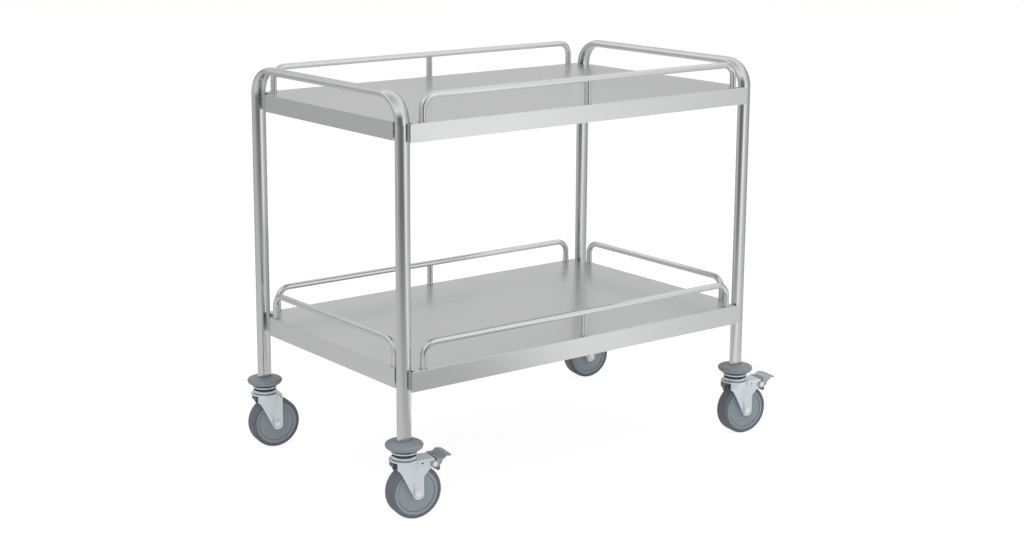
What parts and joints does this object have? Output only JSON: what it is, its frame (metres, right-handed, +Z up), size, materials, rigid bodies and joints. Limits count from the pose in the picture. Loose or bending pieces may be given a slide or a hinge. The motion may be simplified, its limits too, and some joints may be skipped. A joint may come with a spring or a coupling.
{
  "type": "instrument trolley",
  "caption": "Instrument trolley of polished oval tube with folded sheet shelves, guard rails, push handles and swivel castors, the front ones with foot brakes",
  "frame": {"origin": "On the floor, under the middle of the whole outline, castors and brake pedals included, to within a few millimetres", "axes": "+X along the trolley towards the right end, +Y from the front long side (the one with the brakes) to the back, +Z up"},
  "size_m": [0.9402, 0.5588, 0.7675],
  "materials": {
    "tube_steel": "polished stainless tube",
    "sheet_steel": "satin stainless sheet",
    "zinc_steel": "bright zinc-plated pressed steel",
    "screw_steel": "plain stainless fasteners",
    "grey_rubber": "grey non-marking rubber",
    "bumper_rubber": "mid-grey soft plastic",
    "hub_plastic": "blue-grey moulded plastic",
    "bearing_plastic": "natural nylon"
  },
  "bodies": {
    "frame": {"left_end_frame": "tube_steel", "right_end_frame": "tube_steel", "top_shelf": "sheet_steel", "bottom_shelf": "sheet_steel", "top_shelf_channel": "sheet_steel", "bottom_shelf_channel": "sheet_steel", "top_front_rail": "tube_steel", "top_back_rail": "tube_steel", "bottom_front_rail": "tube_steel", "bottom_back_rail": "tube_steel", "bottom_left_rail": "tube_steel", "bottom_right_rail": "tube_steel", "shelf_screws": "screw_steel", "leg_nuts": "screw_steel", "leg_plugs": "bearing_plastic", "castor_stems": "zinc_steel", "front_left_bumper": "bumper_rubber", "front_left_race": "zinc_steel", "front_right_bumper": "bumper_rubber", "front_right_race": "zinc_steel", "back_left_bumper": "bumper_rubber", "back_left_race": "zinc_steel", "back_right_bumper": "bumper_rubber", "back_right_race": "zinc_steel"},
    "front_left_castor": {"front_left_fork": "zinc_steel", "front_left_axle_bolt": "screw_steel", "front_left_axle_nut": "screw_steel", "front_left_brake_pin": "screw_steel"},
    "front_left_wheel": {"front_left_tyre": "grey_rubber", "front_left_hub": "hub_plastic", "front_left_bushes": "bearing_plastic"},
    "front_left_brake": {"front_left_brake_pedal": "zinc_steel", "front_left_brake_shoe": "grey_rubber"},
    "front_right_castor": {"front_right_fork": "zinc_steel", "front_right_axle_bolt": "screw_steel", "front_right_axle_nut": "screw_steel", "front_right_brake_pin": "screw_steel"},
    "front_right_wheel": {"front_right_tyre": "grey_rubber", "front_right_hub": "hub_plastic", "front_right_bushes": "bearing_plastic"},
    "front_right_brake": {"front_right_brake_pedal": "zinc_steel", "front_right_brake_shoe": "grey_rubber"},
    "back_left_castor": {"back_left_fork": "zinc_steel", "back_left_axle_bolt": "screw_steel", "back_left_axle_nut": "screw_steel"},
    "back_left_wheel": {"back_left_tyre": "grey_rubber", "back_left_hub": "hub_plastic", "back_left_bushes": "bearing_plastic"},
    "back_right_castor": {"back_right_fork": "zinc_steel", "back_right_axle_bolt": "screw_steel", "back_right_axle_nut": "screw_steel"},
    "back_right_wheel": {"back_right_tyre": "grey_rubber", "back_right_hub": "hub_plastic", "back_right_bushes": "bearing_plastic"}
  },
  "joints": [
    {"name": "front_left_swivel", "type": "hinge", "parent": "frame", "child": "front_left_castor", "pos_m": [-0.43475, -0.244, 0.1125], "axis": [0, 0, 1], "continuous": true},
    {"name": "front_left_roll", "type": "hinge", "parent": "front_left_castor", "child": "front_left_wheel", "pos_m": [-0.41801, -0.24695, 0.05], "axis": [0.1736, 0.9848, 0], "continuous": true},
    {"name": "front_left_brake_tip", "type": "hinge", "parent": "front_left_castor", "child": "front_left_brake", "pos_m": [-0.38551, -0.25268, 0.1015], "axis": [0.1736, 0.9848, 0], "range_deg": [0, 14]},
    {"name": "front_right_swivel", "type": "hinge", "parent": "frame", "child": "front_right_castor", "pos_m": [0.38525, -0.244, 0.1125], "axis": [0, 0, 1], "continuous": true},
    {"name": "front_right_roll", "type": "hinge", "parent": "front_right_castor", "child": "front_right_wheel", "pos_m": [0.40199, -0.24695, 0.05], "axis": [0.1736, 0.9848, 0], "continuous": true},
    {"name": "front_right_brake_tip", "type": "hinge", "parent": "front_right_castor", "child": "front_right_brake", "pos_m": [0.43449, -0.25268, 0.1015], "axis": [0.1736, 0.9848, 0], "range_deg": [0, 14]},
    {"name": "back_left_swivel", "type": "hinge", "parent": "frame", "child": "back_left_castor", "pos_m": [-0.43475, 0.244, 0.1125], "axis": [0, 0, 1], "continuous": true},
    {"name": "back_left_roll", "type": "hinge", "parent": "back_left_castor", "child": "back_left_wheel", "pos_m": [-0.41801, 0.24105, 0.05], "axis": [0.1736, 0.9848, 0], "continuous": true},
    {"name": "back_right_swivel", "type": "hinge", "parent": "frame", "child": "back_right_castor", "pos_m": [0.38525, 0.244, 0.1125], "axis": [0, 0, 1], "continuous": true},
    {"name": "back_right_roll", "type": "hinge", "parent": "back_right_castor", "child": "back_right_wheel", "pos_m": [0.40199, 0.24105, 0.05], "axis": [0.1736, 0.9848, 0], "continuous": true}
  ]
}
